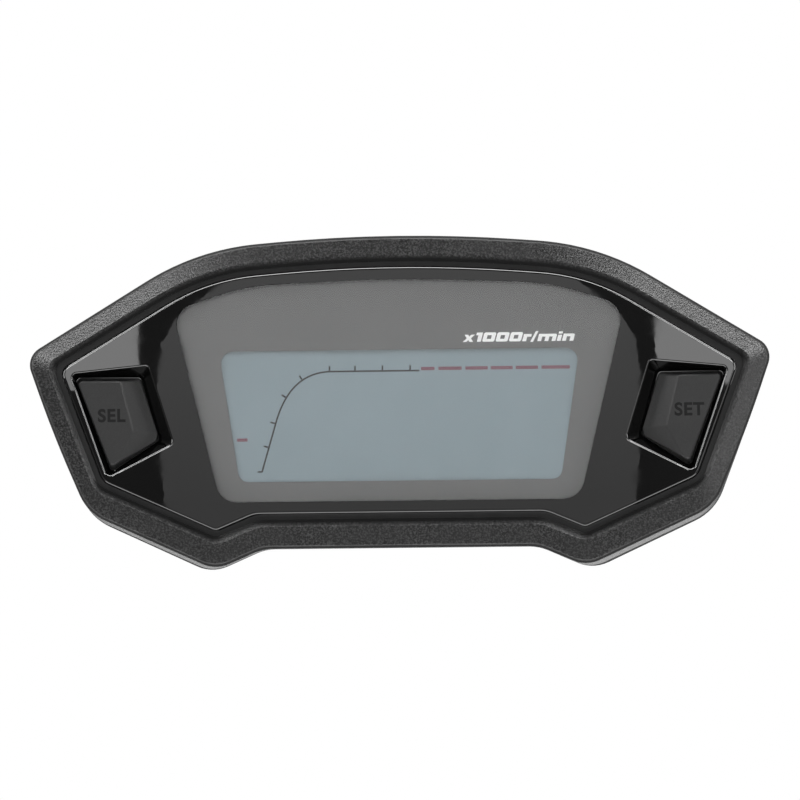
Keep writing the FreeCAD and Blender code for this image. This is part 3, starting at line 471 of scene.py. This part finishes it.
# The tachometer scale: a straight foot, a long bend, and a flat run to the red segments.
SCALE_LINE = 0.4 * MM
SCALE_START = (-32.7 * MM, -18.5 * MM)
SCALE_FOOT = (-33.8 * MM, -32.6 * MM, -18.6 * MM, 0.4 * MM)
SCALE_BEND = (-29.4 * MM, -7.2 * MM)
BEND_HANDLES = ((-27.2 * MM, 0.5 * MM), (-23.0 * MM, 5.0 * MM))
SCALE_LEVEL = 5.0 * MM
BEND_END = (-16.0 * MM, SCALE_LEVEL)
SCALE_END = 4.8 * MM
BEND_STEPS = 24
TICK = 1.1 * MM
TICKS_ON_RISE = (0.5, 1.0)
TICKS_ON_BEND = (0.33, 0.62)
TICKS_ON_LEVEL = (-16.5, -10.45, -3.95, 2.6)

RED_SEGMENTS = ((5.2, 8.4), (9.3, 14.8), (15.7, 21.0), (21.7, 26.9), (27.6, 32.9), (33.7, 40.4))
RED_LEVEL = 5.45 * MM
RED_HEIGHT = 0.8 * MM
FUEL_MARK = (-38.6 * MM, -36.1 * MM, -11.0 * MM, 0.75 * MM)


def bend_points():
    corners = [Vector((*point, 0)) for point in (SCALE_BEND, *BEND_HANDLES, BEND_END)]
    return [tuple(point.xy) for point in interpolate_bezier(*corners, BEND_STEPS)]


def tick(foot, along):
    """A short mark that stands out to the left of a line heading along."""
    out = Vector((-along[1], along[0])).normalized()
    start = Vector(foot) + out * SCALE_LINE / 2
    return ribbon([tuple(start), tuple(start + out * TICK)], SCALE_LINE)


def tachometer_scale():
    """Etched display segments: the tachometer's line and ticks, its red end, and a fuel mark."""
    dark = ink("segment_black", (0.002, 0.003, 0.004), (0.006, 0.007, 0.009), 0.35)
    red = ink("segment_red", (0.15, 0.05, 0.075), (0.18, 0.066, 0.09), 0.4)
    bend = bend_points()
    line = ribbon([SCALE_START, *bend, (SCALE_END, SCALE_LEVEL)], SCALE_LINE)
    pieces = [prism("scale_line", [line], DISPLAY_FACE, dark, "housing"),
              prism("scale_foot", [bar(*SCALE_FOOT)], DISPLAY_FACE, dark, "housing")]

    rise = Vector(SCALE_BEND) - Vector(SCALE_START)
    ticks = [tick(Vector(SCALE_START) + rise * share, rise) for share in TICKS_ON_RISE]
    for share in TICKS_ON_BEND:
        i = int(share * BEND_STEPS)
        ticks.append(tick(bend[i], Vector(bend[i + 1]) - Vector(bend[i])))
    ticks += [tick((x * MM, SCALE_LEVEL), (1, 0)) for x in TICKS_ON_LEVEL]
    pieces.append(prism("scale_ticks", ticks, DISPLAY_FACE, dark, "housing"))

    bars = [bar(left * MM, right * MM, RED_LEVEL, RED_HEIGHT) for left, right in RED_SEGMENTS]
    pieces.append(prism("red_segments", bars, DISPLAY_FACE, red, "housing"))
    pieces.append(prism("fuel_mark", [bar(*FUEL_MARK)], DISPLAY_FACE, red, "housing"))


# Wide heavy letters as closed loops, in cap heights, before they are slanted. STEM and BAR are the widths of
# upright and level strokes, SMALL is the height of a small letter, and CUT is a corner's bevel.
STEM = 0.42
BAR = 0.3
SMALL = 0.78
CUT = 0.12
M_WIDTH = 1.95
N_WIDTH = 1.22


def letter_zero(width=1.3):
    outer = [(CUT, 0), (width - CUT, 0), (width, CUT), (width, 1 - CUT), (width - CUT, 1), (CUT, 1),
             (0, 1 - CUT), (0, CUT)]
    inner = [(STEM, BAR), (width - STEM, BAR), (width - STEM, 1 - BAR), (STEM, 1 - BAR)]
    return [outer, inner], width


def letter_one(width=0.66):
    foot = width - STEM
    return [[(foot, 0), (width, 0), (width, 1), (0, 1), (0, 1 - BAR), (foot, 1 - BAR)]], width


def letter_x(width=1.15):
    half, mid, notch = width / 2, SMALL / 2, 0.2
    return [[(0, 0), (STEM, 0), (half, notch), (width - STEM, 0), (width, 0), (width - 0.35, mid),
             (width, SMALL), (width - STEM, SMALL), (half, SMALL - notch), (STEM, SMALL), (0, SMALL),
             (0.35, mid)]], width


def letter_r(width=0.84):
    under = SMALL - BAR
    return [[(0, 0), (STEM, 0), (STEM, under), (width, under), (width, SMALL), (0, SMALL)]], width


def arches(count, width):
    """The letters n and m: stems joined along their top."""
    gap = (width - STEM * (count + 1)) / count
    loop = [(0, 0)]
    for i in range(count):
        inner = STEM + i * (STEM + gap)
        loop += [(inner, 0), (inner, SMALL - BAR), (inner + gap, SMALL - BAR), (inner + gap, 0)]
    return [loop + [(width, 0), (width, SMALL - CUT), (width - CUT, SMALL), (0, SMALL)]], width


def letter_i():
    stem = [(0, 0), (STEM, 0), (STEM, SMALL - CUT), (0, SMALL - CUT)]
    dot = [(0, SMALL), (STEM, SMALL), (STEM, 1.02), (0, 1.02)]
    return [stem, dot], STEM


def letter_slash(width=0.5):
    return [[(-0.1, -0.08), (0.2, -0.08), (width, 1.08), (width - 0.3, 1.08)]], width


def tachometer_unit():
    """The words beside the scale's end, printed in white on the mask."""
    cap, slant, gap = 2.2 * MM, 0.28, 0.14
    left, base = 15.1 * MM, 11.6 * MM
    word = (letter_x(), letter_one(), letter_zero(), letter_zero(), letter_zero(), letter_r(),
            letter_slash(), arches(2, M_WIDTH), letter_i(), arches(1, N_WIDTH))
    loops, start = [], 0.0
    for shape, width in word:
        for loop in shape:
            loops.append([(left + (start + x + slant * z) * cap, base + z * cap) for x, z in loop])
        start += width + gap
    white = ink("print_white", grey(0.86), grey(0.95), 0.4)
    prism("tachometer_unit", loops, MASK_FACE, white, "housing")


# The buttons' legends: letter height, spacing, how much bolder than the font, and their centres (x, z).
LEGEND_SIZE = 4.2 * MM
LEGEND_SPACING = 1.1
LEGEND_BOLDNESS = 0.13 * MM
LEGENDS = {"left": ("SEL", (-68.1 * MM, -5.1 * MM)), "right": ("SET", (68.4 * MM, -5.1 * MM))}


def button_legend(side, word, centre):
    """A legend in flat letters on a button's face."""
    text = bpy.data.curves.new(f"legend_{side}", "FONT")
    text.body = word
    text.size = LEGEND_SIZE
    text.space_character = LEGEND_SPACING
    text.extrude = PRINT_THICKNESS / 2
    text.offset = LEGEND_BOLDNESS
    text.align_x = "CENTER"
    text.align_y = "CENTER"
    text.materials.append(ink(f"legend_ink_{side}", grey(0.001), grey(0.003), 0.5))
    piece = bpy.data.objects.new(f"legend_{side}", text)
    bpy.context.scene.collection.objects.link(piece)
    piece.rotation_euler = Euler((math.pi / 2, 0, 0))
    piece.location = (centre[0], BUTTON_FACE[side] - PRINT_THICKNESS / 2, centre[1])
    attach(piece, f"button_{side}")


# ---------------------------------------------------------------- camera
CAMERA_DISTANCE = 1.2
CAMERA_AZIMUTH = math.radians(2.0)
CAMERA_ELEVATION = math.radians(-2.0)
CAMERA_ROLL = math.radians(-0.6)
VIEW_WIDTH = 0.190
AIM = Vector((0.0, -0.022, -1.8 * MM))
NEAREST_SEEN = 0.05


def camera():
    """Long lens nearly square to the face, from a little right of centre and a little below."""
    lens = bpy.data.cameras.new("camera")
    lens.lens = lens.sensor_width * CAMERA_DISTANCE / VIEW_WIDTH
    lens.clip_start = NEAREST_SEEN
    seen = bpy.data.objects.new("camera", lens)
    bpy.context.scene.collection.objects.link(seen)
    back = Vector((math.sin(CAMERA_AZIMUTH) * math.cos(CAMERA_ELEVATION),
                   -math.cos(CAMERA_AZIMUTH) * math.cos(CAMERA_ELEVATION), math.sin(CAMERA_ELEVATION)))
    seen.location = AIM + back * CAMERA_DISTANCE
    turn = (-back).to_track_quat("-Z", "Y").to_euler()
    turn.rotate_axis("Z", CAMERA_ROLL)
    seen.rotation_euler = turn
    bpy.context.scene.camera = seen
    return seen


# ---------------------------------------------------------------- studio
# What the fascia mirrors is laid out on an upright plane at this distance in front of the origin.
CARD_DISTANCE = 0.8
# The side softboxes: size, how much nearer than that plane they stand, and where on the fascia their inner
# lower corner is mirrored, out from the middle and up.
SOFTBOX_RADIANCE = 4.2
SOFTBOX_SIZE = (0.12, 0.08)
SOFTBOX_NEARER = 0.02
SOFTBOX_CORNER = (60.5 * MM, 0.5 * MM)
# The front panel: its radiance at foot and top, the heights that these stand for, and its right half in mm.
PANEL_RADIANCE = (0.95, 1.4)
PANEL_RISE = (-26 * MM, 30 * MM)
PANEL_HALF = ((54, -45), (57, -10), (57, 4), (56, 12), (53, 17), (48, 21.5), (42, 26), (34, 31), (20, 36))
# The room turns into the backdrop over this range of a direction's rearward share.
ROOM_RADIANCE = 0.17
BACKDROP_RADIANCE = 1.0
BACKDROP_RAMP = (0.1, 0.6)
FLOOR_LEVEL = -0.45
FLOOR_REACH = 3.0

# Soft rectangular lamps: centre, the way each faces, width and height, radiance, and the rays that it feeds.
LAMPS = {
    "fill": ((0, -0.8, -0.1), (0, 0.8 + FASCIA_FACE, 0.1), (1.4, 1.0), 1.0, "diffuse"),
    "arm_left": ((-0.39, -0.85, 0.32), (0, 1, 0), (0.24, 0.28), 27.0, "glossy"),
    "key_left": ((-0.75, -0.25, 0.1), (1, 0, 0), (0.5, 0.5), 10.0, "glossy"),
    "arm_right": ((0.33, -0.85, 0.32), (0, 1, 0), (0.24, 0.28), 27.0, "glossy"),
    "key_right": ((0.75, -0.25, 0.1), (-1, 0, 0), (0.5, 0.5), 10.0, "glossy"),
    "side_right": ((0.48, -0.8, -0.12), (0, 1, 0), (0.3, 0.3), 4.0, "glossy"),
    "key_low": ((0, -0.25, -0.4), (0, 0, 1), (1.0, 0.3), 6.0, "glossy"),
    "key_top": ((0, -0.2, 0.75), (0, 0, -1), (1.2, 0.4), 20.0, "glossy"),
    "back": ((0.3, 0.9, 0.9), (-0.3, -0.9, -0.9), (0.8, 0.4), 5.0, "diffuse"),
    "floor_light": ((0, 1.3, 0.5), (0, 0, -1), (2.4, 1.6), 2.0, "diffuse"),
}


def mirrored(seen, x, z):
    """The point of the card's plane that the camera sees mirrored at the fascia's point (x, z)."""
    eye = seen.location
    share = (CARD_DISTANCE + FASCIA_FACE) / (FASCIA_FACE - eye.y)
    return Vector((x + (x - eye.x) * share, -CARD_DISTANCE, z + (z - eye.z) * share))


def lamp(name, place, heading, size, radiance, rays):
    """A soft rectangular lamp of that radiance, out of the camera's sight."""
    width, height = size
    light = bpy.data.lights.new(name, "AREA")
    light.shape = "RECTANGLE"
    light.size = width
    light.size_y = height
    light.energy = radiance * math.pi * width * height
    made = bpy.data.objects.new(name, light)
    bpy.context.scene.collection.objects.link(made)
    made.location = place
    made.rotation_euler = Vector(heading).to_track_quat("-Z", "Y").to_euler()
    made.visible_camera = False
    made.visible_diffuse = made.visible_transmission = rays == "diffuse"
    made.visible_glossy = rays == "glossy"


def side_softbox(seen, name, sign):
    """Softbox whose reflection covers the fascia's end, outward and upward of SOFTBOX_CORNER."""
    x, z = SOFTBOX_CORNER
    width, height = SOFTBOX_SIZE
    place = mirrored(seen, sign * x, z) + Vector((sign * width / 2, SOFTBOX_NEARER, height / 2))
    lamp(name, place, (0, 1, 0), SOFTBOX_SIZE, SOFTBOX_RADIANCE, "glossy")


def front_panel(seen):
    """Arched panel of soft light in front, brighter towards its top; only glossy surfaces mirror it."""
    arch = [*PANEL_HALF, *[(-x, z) for x, z in reversed(PANEL_HALF)]]
    corners = [mirrored(seen, x * MM, z * MM) for x, z in arch]
    mesh = bpy.data.meshes.new("front_panel")
    mesh.from_pydata(corners, [], [range(len(corners))])
    low, high = (mirrored(seen, 0, z).z for z in PANEL_RISE)
    glow = Finish("panel_glow")
    emission = glow.node("ShaderNodeEmission")
    strength = glow.between(glow.along("Z", low, high), 0.0, 1.0, *PANEL_RADIANCE)
    glow.link(strength, emission.inputs["Strength"])
    glow.link(emission.outputs[0], glow.tree.nodes["Material Output"].inputs["Surface"])
    mesh.materials.append(glow.material)
    panel = bpy.data.objects.new("front_panel", mesh)
    bpy.context.scene.collection.objects.link(panel)
    for ray in ("camera", "diffuse", "transmission", "shadow"):
        setattr(panel, f"visible_{ray}", False)


def floor():
    """Plain pale floor, well below the cluster, which hangs from its mount."""
    around = ((-1, -1), (1, -1), (1, 1), (-1, 1))
    corners = [(x * FLOOR_REACH, y * FLOOR_REACH, FLOOR_LEVEL) for x, y in around]
    mesh = bpy.data.meshes.new("floor")
    mesh.from_pydata(corners, [], [range(len(corners))])
    pale = moulded("floor_pale", grey(0.82), grey(0.86), 40 * MM, 0.05 * MM, 0.7, 0.8)
    mesh.materials.append(pale.material)
    made = bpy.data.objects.new("floor", mesh)
    bpy.context.scene.collection.objects.link(made)


def surroundings():
    """White backdrop; the room lights the back softly, and looks dim in reflections."""
    world = bpy.data.worlds.new("studio")
    world.use_nodes = True
    tree = world.node_tree

    def ranged(value, *numbers):
        """Maps a value from the range of the first two numbers to that of the last two."""
        ramp = tree.nodes.new("ShaderNodeMapRange")
        for socket, number in zip(ramp.inputs[1:5], numbers):
            socket.default_value = number
        tree.links.new(value, ramp.inputs["Value"])
        return ramp.outputs["Result"]

    def joined(operation, first, second):
        """Joins two values by one operation."""
        made = tree.nodes.new("ShaderNodeMath")
        made.operation = operation
        tree.links.new(first, made.inputs[0])
        tree.links.new(second, made.inputs[1])
        return made.outputs[0]

    direction = tree.nodes.new("ShaderNodeTexCoord").outputs["Generated"]
    split = tree.nodes.new("ShaderNodeSeparateXYZ")
    tree.links.new(direction, split.inputs[0])
    ray = tree.nodes.new("ShaderNodeLightPath")
    lit = ranged(split.outputs["Y"], *BACKDROP_RAMP, ROOM_RADIANCE, BACKDROP_RADIANCE)
    most = ranged(ray.outputs["Is Glossy Ray"], 0.0, 1.0, BACKDROP_RADIANCE, ROOM_RADIANCE)
    strength = joined("MAXIMUM", joined("MINIMUM", lit, most), ray.outputs["Is Camera Ray"])
    background = tree.nodes["Background"]
    tree.links.new(strength, background.inputs["Strength"])
    background.inputs["Color"].default_value = (1.0, 1.0, 1.0, 1.0)
    bpy.context.scene.world = world


def studio(seen):
    """Front panel and softboxes for the gloss, a fill for the colours, and keys that catch the edges."""
    surroundings()
    bpy.context.scene.view_settings.view_transform = "Standard"
    side_softbox(seen, "softbox_left", -1)
    side_softbox(seen, "softbox_right", 1)
    front_panel(seen)
    for name, settings in LAMPS.items():
        lamp(name, *settings)
    floor()


# ---------------------------------------------------------------- the scene
dress_cad_nodes()
tachometer_scale()
tachometer_unit()
for side, (word, centre) in LEGENDS.items():
    button_legend(side, word, centre)
studio(camera())
